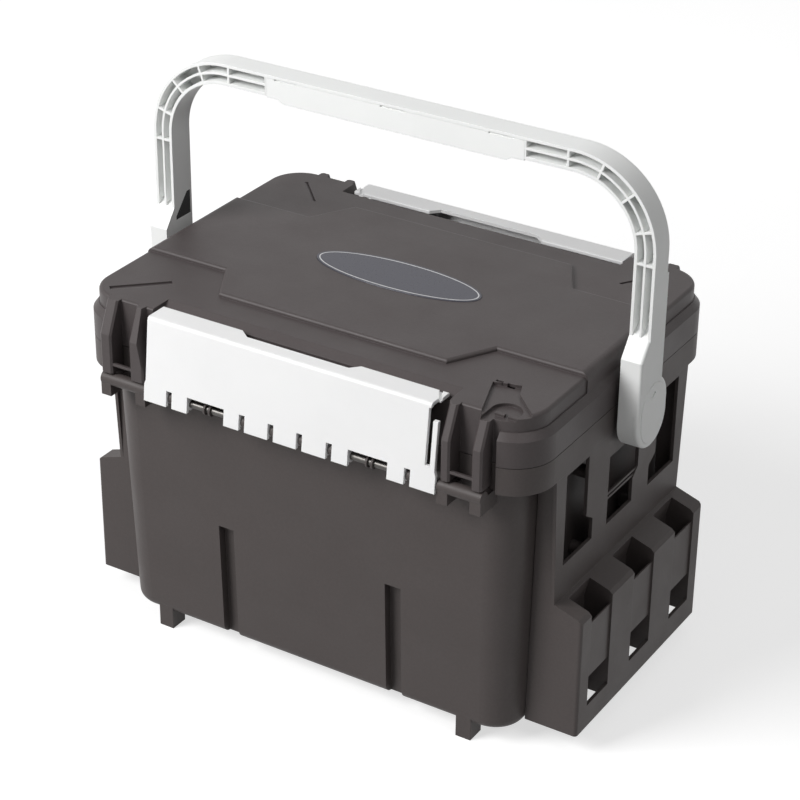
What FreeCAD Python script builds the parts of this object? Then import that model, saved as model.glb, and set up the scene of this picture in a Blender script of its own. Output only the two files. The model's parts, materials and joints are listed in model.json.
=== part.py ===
import FreeCAD
import Part

import math
import os

Vector = FreeCAD.Vector

# Fishing seat box, in millimetres. Z is up, X runs along the handle bar, the
# front is at -Y and the origin is on the floor under the middle of the box.

# Overall size
box_width = 475.0            # over the two side pockets
box_depth = 335.0            # over the lower edges of the two latches
box_height = 320.0           # floor to the raised panel of the lid
half_width = box_width / 2
half_depth = box_depth / 2

# Clearances
slip_gap = 0.35              # between pieces that move past each other
seat_gap = 0.15              # between pieces that are fixed to each other
pin_gap = 0.05               # radial, round pins and axles
seam_gap = 0.6               # between the rim of the tub and the lid

# Insets of the main outlines, which follow the overall size
rim_inset_x = 24.5           # from the faces of the side pockets
rim_inset_y = 12.5           # from the lower edges of the latches
tub_inset_x = 23.0           # from the rim to the tub's wall at its bottom
tub_inset_y = 20.4
bay_inset_x = 31.0           # from the rim to the ends of the bays
bay_inset_y = 6.0            # from the rim to the back of the bays
foot_inset_x = 34.0          # from the tub's wall to the outer end of each foot
lid_side_inset = 5.5         # from the lip to the lid's crown
seal_inset_x = 9.0
rim_half_x = half_width - rim_inset_x
rim_half_y = half_depth - rim_inset_y
tub_bottom_half_x = rim_half_x - tub_inset_x
tub_bottom_half_y = rim_half_y - tub_inset_y
bay_half_x = rim_half_x - bay_inset_x
bay_half_y = rim_half_y - bay_inset_y
foot_end_x = tub_bottom_half_x - foot_inset_x
lid_half_x = rim_half_x - lid_side_inset
lid_half_y = rim_half_y - lid_side_inset
seal_half_x = rim_half_x - seal_inset_x

# Tub
tub_wall = 3.0
foot_height = 15.0
foot_length = 14.0
foot_width = 17.0
tub_draft_x = 4.0            # how much the half length grows from floor to rim
tub_draft_y = 9.0
tub_corner_radius = 27.0
tub_bottom_round = 9.0
channel_width = 15.0         # upright grooves in the front and rear walls
channel_depth = 8.0
channel_top = 125.0
channel_left_x = -79.5
channel_right_x = 83.0
ledge_z = 236.0              # top of the ledges that carry the tray
ledge_width = 7.0
ledge_edge_height = 4.5
ledge_root_height = 14.4     # at the wall, where the ledge's underside slopes down

# Rim of the tub and lip of the lid
rim_top = 274.4
rim_height = 23.4
rim_wall = 2.8
rim_plate = 3.0
rim_corner_radius = 36.0

# Latches
latch_bay_inset = 44.0       # from the ends of the hook bay to the ends of the latch bay
latch_bay_half_x = bay_half_x - latch_bay_inset
latch_half_x = latch_bay_half_x - 2.6
latch_lower_half_x = latch_bay_half_x - 1.2
latch_end_gap = 0.6          # beside the knuckle brackets
latch_bottom_z = 242.6
latch_step_z = 257.0
latch_top_z = 315.0          # upper face of the flange
latch_crease_lean = 8.0      # how far the fold lies behind the lower edge
latch_flange_lean = 30.1     # how far the flange's free edge lies behind the lower edge
latch_wall = 3.1
latch_top_round = 1.0
latch_fold_round = 3.0
latch_step_height = 4.0
latch_foot_cut = 2.0         # lower corners of the latch
knuckle_radius = 5.2
ear_slot_width = 5.4
latch_slot_top = 256.6
wide_notch = (58.4, 94.2)
finger_notch_x = (-48.8, 45.9)
finger_notch_slants = (10.2, 7.5)
finger_notch_depth = 8.0
tab_slit_inset = (8.6, 4.2)  # sides of the slit beside the narrow tab, from the latch's right end
tab_slit_z = (264.0, 311.0)
tab_groove_inset = 13.2      # groove across the flange, from the latch's right end at the free edge
tab_groove_width = 3.1
tab_groove_depth = 1.8
tab_groove_run = (8.3, 15.0)         # how far the groove runs outwards and forwards
tab_end_inset = 4.4          # right end of the flange, from the latch's right end
tab_notch_inset = 6.8
tab_notch_reach = 12.6       # from the flange's free edge to the notch in its fold
tab_notch_bottom_z = 301.5
latch_crease_y = half_depth - latch_crease_lean
latch_flange_y = half_depth - latch_flange_lean

# Axles and their brackets
axle_radius = 3.0
axle_inset = 7.0             # from the lower edge of the latch to the axle
axle_z = 248.5
axle_y = half_depth - axle_inset
axle_end_gap = 0.3           # at each end of an axle
ear_radius = 4.8
ear_web_above = 3.4          # top of the ear's web over the axle's middle
ear_web_below = 4.3
ear_width = 3.4
ear_places = (13.5, 41.0, 112.0)
twin_ear_place = 76.5
twin_ear_spacing = 5.0
twin_ear_width = 1.8
knuckle_bracket_width = 9.6
bracket_radius = 5.6
end_bracket_width = 9.6
end_bracket_gaps = (0.4, 5.8)        # to the left and the right end of the front bay
end_bracket_skin = 1.0       # closes the axle's hole at its outer end
bracket_bottom = 234.5
bracket_reach = 4.8          # past the axle, outwards

# Lid
lid_wall = 3.0
lip_height = 22.0
lip_chamfer = 6.0
lip_inset = 4.5
lid_outer_top = 316.5        # the margin round the raised panel
lid_edge_round = 3.0
panel_step_inset = (100.5, 47.5)    # corners of the raised panel, from the corner of the crown
panel_wing_inset = (78.5, 87.0)
panel_proud = 1.1            # how far the panel's wings stand out from the crown's sides
panel_round = 2.6
panel_end_round = 7.0
front_bevel_run = 8.5        # margin that falls towards the latch
front_bevel_drop = 4.7
latch_ledge_overlap = 1.2    # how far the latch's flange passes over the ledge of the lid
latch_ledge_gap = 3.8        # lets the ledge rise past the flange while the latch turns out
latch_flange_gap = 0.9       # between the flange's free edge and the lid
hook_ribs_right = ((1.8, 9.8), (28.8, 37.8))       # from the end of the latch bay
hook_ribs_left = ((0.6, 14.0), (32.0, 43.0))
hook_slant = (10.6, 56.0)    # run and rise of the left inner rib's slanted side
hook_slant_turn = (9.3, 39.0)       # how that side turns inwards, away from the front
hook_slant_bottom_z = 262.0
hook_face_inset = 2.5        # from the front of the box
hook_top_inset = 14.0
hook_inner_inset = 17.5
hook_bend_z = 290.0
hook_clearance_z = 6.8       # underside of the hook ribs above the axle
hook_chamfer = 1.6
hook_bar_z = 263.5
hook_bar_size = 2.4
hook_bar_inset = 1.5         # behind the front of the hook ribs
lid_rib = 2.2
lid_rib_depth = 13.0
lid_rib_spacing_x = 66.0
lid_rib_spacing_y = 62.0
seal_corner_radius = 30.0
seal_width = 4.0
seal_side_gap = 1.6          # beside the lid's inner walls at the latch bays
seal_height = 4.4
seal_shelf = 3.0
latch_ledge_y = latch_flange_y + latch_ledge_overlap
latch_bay_y = latch_flange_y - latch_flange_gap
front_bevel_y = latch_bay_y - front_bevel_run
hook_face_y = half_depth - hook_face_inset
hook_top_y = half_depth - hook_top_inset
hook_inner_y = half_depth - hook_inner_inset
panel_end_x = lid_half_x + panel_proud

# Grooves on the lid's margin: corner of the lid, the two ends from that corner, width
groove_depth = 1.6
grooves_at = (
    ((-1, -1), (20.3, 20.2), (57.1, 55.4), 6.6),
    ((-1, 1), (38.0, 26.0), (67.0, 57.0), 3.0),
    ((1, 1), (60.0, 58.0), (38.0, 26.0), 3.0),
)

# Accessory seat at the front right corner of the lid, measured from that corner
dock_depth = 2.4
dock_outline = ((62.0, 48.0), (40.0, 54.0), (34.5, 41.0), (12.0, 19.0), (10.0, 2.0), (46.0, 2.0))
dock_slot_places = (61.0, 51.0)
dock_slot_length = 6.5
dock_slot_width = 2.6
dock_slot_inset = 50.0
dock_well_place = (32.5, 17.0)
dock_well_radius = 12.5
dock_well_depth = 5.0
dock_rib_places = (35.0, 24.0)
dock_rib_size = (8.0, 3.0, 2.4)
dock_block_x = (60.0, 8.0)   # block under the well, from the corner of the lid
dock_block_y = (4.0, 46.0)

# Badge plate
badge_length = 156.0
badge_width = 51.0
badge_thickness = 1.4
badge_proud = 0.5
badge_chamfer = 0.3
badge_x = -2.0
badge_y = 3.0

# Side frames with their pockets
pocket_depth = 25.0
pocket_bottom = 18.9
pocket_top = 126.2
pocket_top_inner = 136.6
pocket_half_y = 107.7
frame_wall = 3.0
frame_top_half_y = 113.5
frame_flange_gap = 0.6       # between the frame's flanges and the tub
slot_pitch = 73.5            # spacing of the three pocket holes
slot_width = 35.5
slot_top_hole_z = 117.5
slot_wall_bottom = 28.5      # lower edge of the walls between the holes, inside
slot_window_z = (40.0, 66.0)
slot_face_relief = 1.6
window_bottom = 167.0
window_end_step_z = (186.0, 193.0)
window_middle_step_z = (188.0, 196.0)
window_top_bar = 3.0         # left between the outer windows and the rim
window_middle_top_bar = 21.6
window_inner_end = 60.0
window_inner_end_low = 49.0
window_outer_end = 96.5
window_middle = (-24.0, 20.0)
window_middle_high = 28.5
brace_z = 194.0
brace_size = 2.0
screw_y = 43.0
screw_rows = (150.0, 222.0)
screw_radius = 2.0
screw_head_radius = 4.0
screw_head_height = 2.4
screw_head_gap = 0.45        # the wall leans, so the flat head stands off its middle
screw_bite = 9.0
screw_hole_end = 1.0         # free length of the hole behind the screw's tip
boss_radius = 5.5

# Handle
pivot_z = 259.5
handle_depth = 25.0
handle_side_gap = 4.0        # between the rim and each arm
arm_thickness = 18.4
corner_radius_in = 55.0
corner_centre_z = 402.0
cheek_radius = 24.6
cheek_bulge = 11.5           # how far the round end's rear side runs up before it turns in
cheek_round = 2.4
cheek_top_z = 382.0          # where the cheek's solid ends inside the arm
cheek_seam_inset = 5.0       # from the outer face to the fine groove round the lower end
cheek_seam = 0.5
flare_top_z = 334.0
flare_low_z = 318.0
handle_wall = 2.6
handle_rib = 2.0
cell_floor = 9.0             # thickness left behind the open cells
cell_grip_gap = 41.0         # from the first cell to the arm's inner face
cell_end_z = 334.0
cell_end_rise = 12.0         # the lower ends of the cells slope back
cell_rib_gap = 5.0           # from the first rib to the start of the bend
cell_rib_angles = (69.0, 43.0, 17.0)
cell_rib_drop = 7.0          # from the start of the bend down to the last rib
handle_edge_round = 3.5
grip_gap = 42.5              # from the start of the bend to the end of the grip cover
grip_drop = 4.0
grip_drop_end = 15.5
grip_drop_run = 6.0
grip_cover_wall = 3.0
grip_slit_x = (-100.5, 0.0, 98.5)
grip_slit_length = 22.0
grip_slit_height = 1.0
grip_slit_from_top = 3.0
cap_proud = 0.6
cap_inset = 4.5
cap_depth = 3.0
cap_chamfer = 0.4
cap_slot_place = (-2.0, 281.5)
cap_slot_size = (8.0, 3.0)
cap_slot_tilt = 25.0
insert_thickness = 2.0
insert_inset = 2.5           # from the edges of the arm
insert_bottom_z = 322.0
insert_height = 21.0
insert_front_height = 3.0
insert_slope_end_y = 5.6
arm_inner_x = rim_half_x + handle_side_gap
arm_outer_x = arm_inner_x + arm_thickness
corner_radius_out = corner_radius_in + arm_thickness
corner_centre_x = arm_inner_x - corner_radius_in
bar_bottom = corner_centre_z + corner_radius_in
bar_top = corner_centre_z + corner_radius_out
handle_half = handle_depth / 2
grip_half_x = corner_centre_x - grip_gap
grip_drop_half_x = grip_half_x - grip_drop_end
cell_end_x = arm_inner_x - cell_grip_gap - corner_radius_in
cell_rib_x = corner_centre_x - cell_rib_gap

# Handle pivots
pin_radius = 6.0
journal_radius = 8.0
pin_flange_radius = 12.0
pin_head_radius = 11.0
pin_head = 2.5
pin_depth = 15.0             # from the rim inwards
pivot_boss_half_y = 16.0

# Tray
tray_length = 172.0
tray_height = 46.0
tray_wall = 2.2
tray_side_gap = 1.0
tray_lip_thickness = 2.6
tray_end_gap = 7.0
tray_compartments = 4
divider_thickness = 1.6
divider_drop = 3.0
guide_depth = 2.0
guide_thickness = 1.2

# Places worked out from the sizes above
plate_face_x = half_width - pocket_depth
plate_inner_x = plate_face_x - frame_wall
rim_bottom = rim_top - rim_height
frame_top_z = rim_bottom - slip_gap
tub_bottom = foot_height
tub_top_half_x = tub_bottom_half_x + tub_draft_x
tub_top_half_y = tub_bottom_half_y + tub_draft_y
lid_bottom = rim_top + seam_gap
lip_top = lid_bottom + lip_height
lip_shoulder = lip_top + lip_chamfer
lid_inner_top = lid_outer_top - lid_wall
seal_half_y = bay_half_y - lid_wall - seal_side_gap
seal_bottom = rim_top + slip_gap
shelf_bottom = seal_bottom + seal_height
knuckle_bracket_low_x = latch_lower_half_x + latch_end_gap
latch_ledge_z = latch_top_z - latch_wall - latch_ledge_gap
tray_top = ledge_z + slip_gap + tray_lip_thickness
tray_bottom = tray_top - tray_height
journal_end_x = arm_outer_x - cap_depth - pin_head - slip_gap
bulge_z = pivot_z + cheek_bulge


def tub_half_x(z):
    """Half length of the tub's outside at height z."""
    return tub_bottom_half_x + tub_draft_x * (z - tub_bottom) / (rim_top - tub_bottom)


def tub_half_y(z):
    """Half depth of the tub's outside at height z."""
    return tub_bottom_half_y + tub_draft_y * (z - tub_bottom) / (rim_top - tub_bottom)


tray_centre_x = -(tub_half_x(ledge_z) - tub_wall - tray_end_gap - tray_length / 2)
tray_body_half_y = tub_half_y(ledge_z) - tub_wall - ledge_width - tray_side_gap


def box(x_range, y_range, z_range):
    """Box between two values on each axis, in either order."""
    x0, x1 = sorted(x_range)
    y0, y1 = sorted(y_range)
    z0, z1 = sorted(z_range)
    return Part.makeBox(x1 - x0, y1 - y0, z1 - z0, Vector(x0, y0, z0))


def line(start, end):
    """Straight edge between two points."""
    return Part.LineSegment(start, end).toShape()


def arc(start, middle, end):
    """Round edge through three points."""
    return Part.Arc(start, middle, end).toShape()


def rounded_wire(half_x, half_y, radius, z):
    """Closed outline of a rounded rectangle at height z."""
    edges = []
    ends = []
    for quarter, (sign_x, sign_y) in enumerate(((1, 1), (-1, 1), (-1, -1), (1, -1))):
        centre = Vector(sign_x * (half_x - radius), sign_y * (half_y - radius), z)
        points = []
        for turn in (0, 0.5, 1):
            angle = (quarter + turn) * math.pi / 2
            points.append(centre + Vector(radius * math.cos(angle), radius * math.sin(angle), 0))
        ends.append(points)
    for index, points in enumerate(ends):
        edges.append(arc(*points))
        following = ends[(index + 1) % 4]
        edges.append(line(points[2], following[0]))
    return Part.Wire(edges)


def rounded_prism(half_x, half_y, radius, z0, z1):
    """Upright rounded block."""
    face = Part.Face(rounded_wire(half_x, half_y, radius, z0))
    return face.extrude(Vector(0, 0, z1 - z0))


def rounded_loft(low, high):
    """Drafted rounded block; low and high are (half_x, half_y, radius, z)."""
    return Part.makeLoft([rounded_wire(*low), rounded_wire(*high)], True, True)


def prism_x(points, x_range):
    """Outline of (y, z) points, extruded along X."""
    x0, x1 = sorted(x_range)
    loop = [Vector(x0, y, z) for y, z in points]
    face = Part.Face(Part.makePolygon(loop + [loop[0]]))
    return face.extrude(Vector(x1 - x0, 0, 0))


def prism_z(points, z_range):
    """Outline of (x, y) points, extruded along Z."""
    z0, z1 = sorted(z_range)
    loop = [Vector(x, y, z0) for x, y in points]
    face = Part.Face(Part.makePolygon(loop + [loop[0]]))
    return face.extrude(Vector(0, 0, z1 - z0))


def prism_y(points, y_range):
    """Outline of (x, z) points, extruded along Y."""
    y0, y1 = sorted(y_range)
    loop = [Vector(x, y0, z) for x, z in points]
    face = Part.Face(Part.makePolygon(loop + [loop[0]]))
    return face.extrude(Vector(0, y1 - y0, 0))


def rod_x(x_range, y, z, radius):
    """Cylinder along X."""
    x0, x1 = sorted(x_range)
    return Part.makeCylinder(radius, x1 - x0, Vector(x0, y, z), Vector(1, 0, 0))


def joined(shapes):
    """One shape from several that touch or overlap."""
    first, *rest = shapes
    if rest:
        first = first.fuse(rest)
    return first.removeSplitter()


def without(shape, cutters):
    """Shape with the cutters taken away."""
    return shape.cut(cutters) if cutters else shape


def mirrored_x(shape):
    """Mirror image across the plane x = 0."""
    return shape.mirror(Vector(0, 0, 0), Vector(1, 0, 0))


def mirrored_y(shape):
    """Mirror image across the plane y = 0."""
    return shape.mirror(Vector(0, 0, 0), Vector(0, 1, 0))


def half_turn(shape):
    """The same piece turned end for end about the Z axis."""
    turned = shape.copy()
    turned.rotate(Vector(0, 0, 0), Vector(0, 0, 1), 180)
    return turned


def four_ways(shape):
    """The shape in all four quadrants."""
    right = [shape, mirrored_y(shape)]
    return right + [mirrored_x(piece) for piece in right]


def rim_outline(inset, z0, z1):
    """Block inside the outline of rim and lid lip, set back at both latch bays."""
    block = rounded_prism(rim_half_x - inset, rim_half_y - inset, rim_corner_radius - inset, z0, z1)
    bay = box((-bay_half_x - inset, bay_half_x + inset), (-half_depth, -bay_half_y + inset), (z0 - 1, z1 + 1))
    return without(block, [bay, mirrored_y(bay)])


def channel(centre_x, margin):
    """Upright groove in the front wall, or with a margin the wall round it."""
    half = channel_width / 2 + margin
    top = channel_top + margin
    depth = channel_depth + margin
    outer = half_depth
    points = [
        (-outer, tub_bottom - 1),
        (-tub_half_y(tub_bottom) + depth, tub_bottom - 1),
        (-tub_half_y(top) + depth, top),
        (-outer, top),
    ]
    return prism_x(points, (centre_x - half, centre_x + half))


def channels(margin):
    """The grooves of the front wall and, turned end for end, of the rear wall."""
    front = [channel(x, margin) for x in (channel_left_x, channel_right_x)]
    return front + [half_turn(groove) for groove in front]


def tub_shell():
    """Open drafted bucket with rounded lower edges."""
    low = (tub_bottom_half_x, tub_bottom_half_y, tub_corner_radius, tub_bottom)
    high = (tub_top_half_x, tub_top_half_y, tub_corner_radius, rim_top)
    outside = rounded_loft(low, high)
    bottom_edges = [edge for edge in outside.Edges if abs(edge.BoundBox.ZMax - tub_bottom) < 0.01]
    outside = outside.makeFillet(tub_bottom_round, bottom_edges)
    inner_low = tub_bottom + tub_wall
    inner_corner = tub_corner_radius - tub_wall
    inside = rounded_loft(
        (tub_half_x(inner_low) - tub_wall, tub_half_y(inner_low) - tub_wall, inner_corner, inner_low),
        (tub_top_half_x - tub_wall, tub_top_half_y - tub_wall, inner_corner, rim_top + 1),
    )
    floor_edges = [edge for edge in inside.Edges if abs(edge.BoundBox.ZMax - inner_low) < 0.01]
    inside = inside.makeFillet(tub_bottom_round - tub_wall, floor_edges)
    inside = without(inside, channels(tub_wall))
    return outside, inside


def tub_rim():
    """Flange round the mouth with a hanging skirt."""
    skirt_space = rim_outline(rim_wall, rim_bottom - 1, rim_top - rim_plate)
    return without(rim_outline(0, rim_bottom, rim_top), [skirt_space])


def pivot_boss():
    """Solid block inside the right-hand skirt for the pin of the handle."""
    x_range = (tub_top_half_x - tub_wall / 2, rim_half_x - rim_wall / 2)
    return box(x_range, (-pivot_boss_half_y, pivot_boss_half_y), (rim_bottom, rim_top - rim_plate / 2))


def ear(centre_x, width):
    """Narrow plate on the front wall that holds the axle between the latch knuckles."""
    x_range = (centre_x - width / 2, centre_x + width / 2)
    ring = rod_x(x_range, -axle_y, axle_z, ear_radius)
    web_z = (axle_z - ear_web_below, axle_z + ear_web_above)
    web = box(x_range, (-axle_y, -tub_half_y(axle_z) + tub_wall / 2), web_z)
    return joined([ring, web])


def bracket(x_range):
    """Bracket at the end of the bay, with the axle near its outer edge."""
    front = axle_y + bracket_reach
    rear = tub_half_y(axle_z) - tub_corner_radius / 3
    points = [(-front, bracket_bottom), (-rear, bracket_bottom), (-rear, axle_z), (-front, axle_z)]
    body = prism_x(points, x_range)
    ring = rod_x(x_range, -axle_y, axle_z, bracket_radius)
    return joined([body, ring])


def bay_end_supports(end_gap):
    """Brackets beside the latch and at the bay's right end, with a sleeve over the axle between them."""
    end = bay_half_x - end_gap
    beside_latch = bracket((knuckle_bracket_low_x, knuckle_bracket_low_x + knuckle_bracket_width))
    at_end = bracket((end - end_bracket_width, end))
    sleeve = rod_x((knuckle_bracket_low_x, end), -axle_y, axle_z, bracket_radius)
    return [beside_latch, at_end, sleeve]


def axle_supports():
    """All ears, brackets and sleeves of the front wall."""
    parts = []
    for place in ear_places:
        parts.append(ear(place, ear_width))
    for side in (-1, 1):
        parts.append(ear(twin_ear_place + side * twin_ear_spacing / 2, twin_ear_width))
    parts += [mirrored_x(part) for part in parts]
    gap_left, gap_right = end_bracket_gaps
    left = [mirrored_x(part) for part in bay_end_supports(gap_left)]
    return parts + bay_end_supports(gap_right) + left


def axle_rod(end_gap, radius):
    """Rod along the front axle's hole, shorter than the hole by a gap at each end."""
    low, high = [bay_half_x - gap - end_bracket_skin - end_gap for gap in end_bracket_gaps]
    return rod_x((-low, high), -axle_y, axle_z, radius)


def ledge(front_y):
    """Ledge along the front wall inside the tub, with a sloped underside."""
    points = [
        (front_y - tub_wall / 2, ledge_z),
        (front_y + ledge_width, ledge_z),
        (front_y + ledge_width, ledge_z - ledge_edge_height),
        (front_y - tub_wall / 2, ledge_z - ledge_root_height),
    ]
    half = tub_half_x(ledge_z) - tub_corner_radius
    return prism_x(points, (-half, half))


def foot():
    """Block under the tub at the front right."""
    return box(
        (foot_end_x - foot_length, foot_end_x),
        (-tub_bottom_half_y, -tub_bottom_half_y + foot_width),
        (0, tub_bottom + tub_bottom_round),
    )


def screw_places():
    """Height and depth of the screws that hold the right-hand side frame."""
    return [(y, z) for z in screw_rows for y in (-screw_y, screw_y)]


def tub():
    """The bucket with rim, axle brackets, ledges and feet."""
    outside, inside = tub_shell()
    supports = axle_supports()
    supports += [half_turn(part) for part in supports]
    boss = pivot_boss()
    body = outside.fuse([tub_rim(), boss, mirrored_x(boss)] + supports)
    body = without(body, [inside] + channels(0))
    feet = [without(block, [inside]) for block in four_ways(foot())]
    inner_y = -(tub_half_y(ledge_z) - tub_wall)
    ledges = [ledge(inner_y), half_turn(ledge(inner_y))]
    body = body.fuse(feet + ledges)
    axle_hole = axle_rod(0, axle_radius + pin_gap)
    cutters = [axle_hole, half_turn(axle_hole)]
    for side in (-1, 1):
        pin_hole = (side * (rim_half_x - pin_depth - axle_end_gap), side * (rim_half_x + 1))
        cutters.append(rod_x(pin_hole, 0, pivot_z, pin_radius + pin_gap))
        for y, z in screw_places():
            wall = (side * (tub_half_x(z) - 2 * tub_wall), side * (tub_half_x(z) + 1))
            cutters.append(rod_x(wall, y, z, screw_radius + pin_gap))
    return without(body, cutters).removeSplitter()


def frame_windows():
    """Cutters for the three windows of the right-hand side plate."""
    through = (plate_inner_x - 1, plate_face_x + 1)
    front = [
        (-window_outer_end, window_bottom),
        (-window_inner_end_low, window_bottom),
        (-window_inner_end_low, window_end_step_z[0]),
        (-window_inner_end, window_end_step_z[1]),
        (-window_inner_end, frame_top_z - window_top_bar),
        (-window_outer_end, frame_top_z - window_top_bar),
    ]
    rear = [(-y, z) for y, z in front]
    low, high = window_middle
    middle = [
        (low, window_bottom),
        (high, window_bottom),
        (high, window_middle_step_z[0]),
        (window_middle_high, window_middle_step_z[1]),
        (window_middle_high, frame_top_z - window_middle_top_bar),
        (low, frame_top_z - window_middle_top_bar),
    ]
    return [prism_x(outline, through) for outline in (front, middle, rear)]


def slot_centres():
    """Places of the three pocket holes along Y."""
    return [slot_pitch * step for step in (-1, 0, 1)]


def side_frame():
    """Right-hand frame: flanged plate, with an open-bottomed pocket box below."""
    plate_points = [
        (-pocket_half_y, pocket_bottom),
        (pocket_half_y, pocket_bottom),
        (pocket_half_y, pocket_top_inner),
        (frame_top_half_y, frame_top_z),
        (-frame_top_half_y, frame_top_z),
        (-pocket_half_y, pocket_top_inner),
    ]
    plate = prism_x(plate_points, (plate_inner_x, plate_face_x))
    flange_points = [
        (tub_half_x(pocket_bottom) + frame_flange_gap, pocket_bottom),
        (plate_face_x, pocket_bottom),
        (plate_face_x, frame_top_z),
        (tub_half_x(rim_bottom) + frame_flange_gap, frame_top_z),
    ]
    flange_block = prism_y(flange_points, (-pocket_half_y, pocket_half_y))
    flange_gap_y = (-pocket_half_y + frame_wall, pocket_half_y - frame_wall)
    flange_space = box((0, plate_inner_x), flange_gap_y, (0, rim_top))
    flanges = without(flange_block, [flange_space])
    pocket_points = [
        (plate_inner_x, pocket_bottom),
        (half_width, pocket_bottom),
        (half_width, pocket_top),
        (half_width - frame_wall, pocket_top + frame_wall),
        (plate_inner_x, pocket_top_inner + 1),
    ]
    pocket = prism_y(pocket_points, (-pocket_half_y, pocket_half_y))
    outer_edges = [edge for edge in pocket.Edges if abs(edge.BoundBox.XMin - half_width) < 0.01]
    upright = [edge for edge in outer_edges if edge.BoundBox.YLength < 0.01]
    pocket = pocket.makeFillet(frame_wall, upright)
    body = joined([plate, flanges, pocket])
    cutters = frame_windows()
    for centre in slot_centres():
        y_range = (centre - slot_width / 2, centre + slot_width / 2)
        well = [
            (plate_face_x, pocket_bottom - 1),
            (half_width - frame_wall, pocket_bottom - 1),
            (half_width - frame_wall, slot_top_hole_z),
            (half_width + 1, slot_top_hole_z),
            (half_width + 1, pocket_top_inner + 2),
            (plate_face_x + frame_wall * 1.5, pocket_top_inner + 2),
            (plate_face_x, slot_top_hole_z),
        ]
        cutters.append(prism_y(well, y_range))
        cutters.append(box((half_width - 2 * frame_wall, half_width + 1), y_range, slot_window_z))
        relief = (half_width - slot_face_relief, half_width + 1)
        cutters.append(box(relief, y_range, (slot_window_z[1], slot_top_hole_z)))
    hollow_x = (plate_face_x, half_width - frame_wall)
    last_y = slot_pitch + slot_width / 2 + frame_wall
    inside_y = pocket_half_y - frame_wall
    for side in (-1, 1):
        between = side * slot_pitch / 2
        half = (slot_pitch - slot_width) / 2 - frame_wall
        cutters.append(box(hollow_x, (between - half, between + half), (pocket_bottom - 1, slot_top_hole_z)))
        end_y = sorted((side * last_y, side * inside_y))
        cutters.append(box(hollow_x, end_y, (pocket_bottom - 1, slot_top_hole_z)))
    cutters.append(box(hollow_x, (-inside_y, inside_y), (pocket_bottom - 1, slot_wall_bottom)))
    body = without(body, cutters)
    braces = []
    brace_x = (plate_inner_x, plate_inner_x + brace_size)
    brace_y = (window_middle[0] - 1, window_middle_high + 1)
    for row in (brace_z, brace_z - 2 * brace_size):
        braces.append(box(brace_x, brace_y, (row - brace_size / 2, row + brace_size / 2)))
    bosses = []
    holes = []
    for y, z in screw_places():
        wall_x = tub_half_x(z) + seat_gap
        bosses.append(rod_x((wall_x, plate_face_x - 1), y, z, boss_radius))
        holes.append(rod_x((wall_x - 1, wall_x + screw_bite), y, z, screw_radius + pin_gap))
    body = body.fuse(braces + bosses)
    tub_side = rounded_loft(
        (tub_bottom_half_x + seat_gap, tub_bottom_half_y, tub_corner_radius, tub_bottom),
        (tub_top_half_x + seat_gap, tub_top_half_y, tub_corner_radius, rim_top),
    )
    return without(body, holes + [tub_side]).removeSplitter()


def frame_screws():
    """Screws through the tub's right wall into the frame's bosses, heads inside."""
    screws = []
    for y, z in screw_places():
        wall_x = tub_half_x(z)
        head_x = wall_x - tub_wall - screw_head_gap
        head = rod_x((head_x - screw_head_height, head_x), y, z, screw_head_radius)
        shank = rod_x((head_x, wall_x + screw_bite - screw_hole_end), y, z, screw_radius)
        screws.append(joined([head, shank]))
    return Part.makeCompound(screws)


def axle():
    """Front axle."""
    return axle_rod(axle_end_gap, axle_radius)


def lid_outside():
    """Outer form of the lid before its bays are cut."""
    lip = rounded_prism(rim_half_x, rim_half_y, rim_corner_radius, lid_bottom, lip_top)
    shoulder = rounded_loft(
        (rim_half_x, rim_half_y, rim_corner_radius, lip_top),
        (rim_half_x - lip_inset, rim_half_y - lip_inset, rim_corner_radius - lip_inset, lip_shoulder),
    )
    crown = rounded_prism(lid_half_x, lid_half_y, rim_corner_radius - lid_side_inset, lip_top, lid_outer_top)
    top_edges = [edge for edge in crown.Edges if abs(edge.BoundBox.ZMin - lid_outer_top) < 0.01]
    crown = crown.makeFillet(lid_edge_round, top_edges)
    return joined([lip, shoulder, crown])


def latch_bay_cutters(margin):
    """What is cut from the lid in front for the hooks and the latch."""
    deep = half_depth + 5
    low, high = lid_bottom - 1, box_height + 5
    hooks = box((-bay_half_x - margin, bay_half_x + margin), (-deep, -bay_half_y + margin), (low, high))
    bevel_slope = front_bevel_drop / front_bevel_run
    rise = high - lid_outer_top
    wall_points = [
        (-deep, low),
        (-bay_half_y + margin, low),
        (-bay_half_y + margin, lid_bottom),
        (-latch_ledge_y + margin, latch_ledge_z - margin),
        (-latch_bay_y + margin, latch_ledge_z - margin),
        (-latch_bay_y + margin, lid_outer_top - front_bevel_drop - margin),
        (-front_bevel_y + margin, lid_outer_top - margin),
        (-front_bevel_y + margin + rise / bevel_slope, high),
        (-deep, high),
    ]
    half = latch_bay_half_x + margin
    bay = prism_x(wall_points, (-half, half))
    return [hooks, bay]


def raised_panel(inset, z0, z1):
    """Raised field of the lid, wide in the middle of each side."""
    step_x, step_y = lid_half_x - panel_step_inset[0], lid_half_y - panel_step_inset[1]
    wing_x, wing_y = lid_half_x - panel_wing_inset[0], lid_half_y - panel_wing_inset[1]
    quadrant = [
        (step_x - inset, step_y - inset),
        (wing_x - inset, wing_y - inset),
        (panel_end_x - inset, wing_y - inset),
    ]
    upper = [(x, y) for x, y in reversed(quadrant)]
    right_low = [(x, -y) for x, y in quadrant]
    left_low = [(-x, -y) for x, y in reversed(quadrant)]
    left_up = [(-x, y) for x, y in quadrant]
    return prism_z(right_low + upper + left_up + left_low, (z0, z1))


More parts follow.
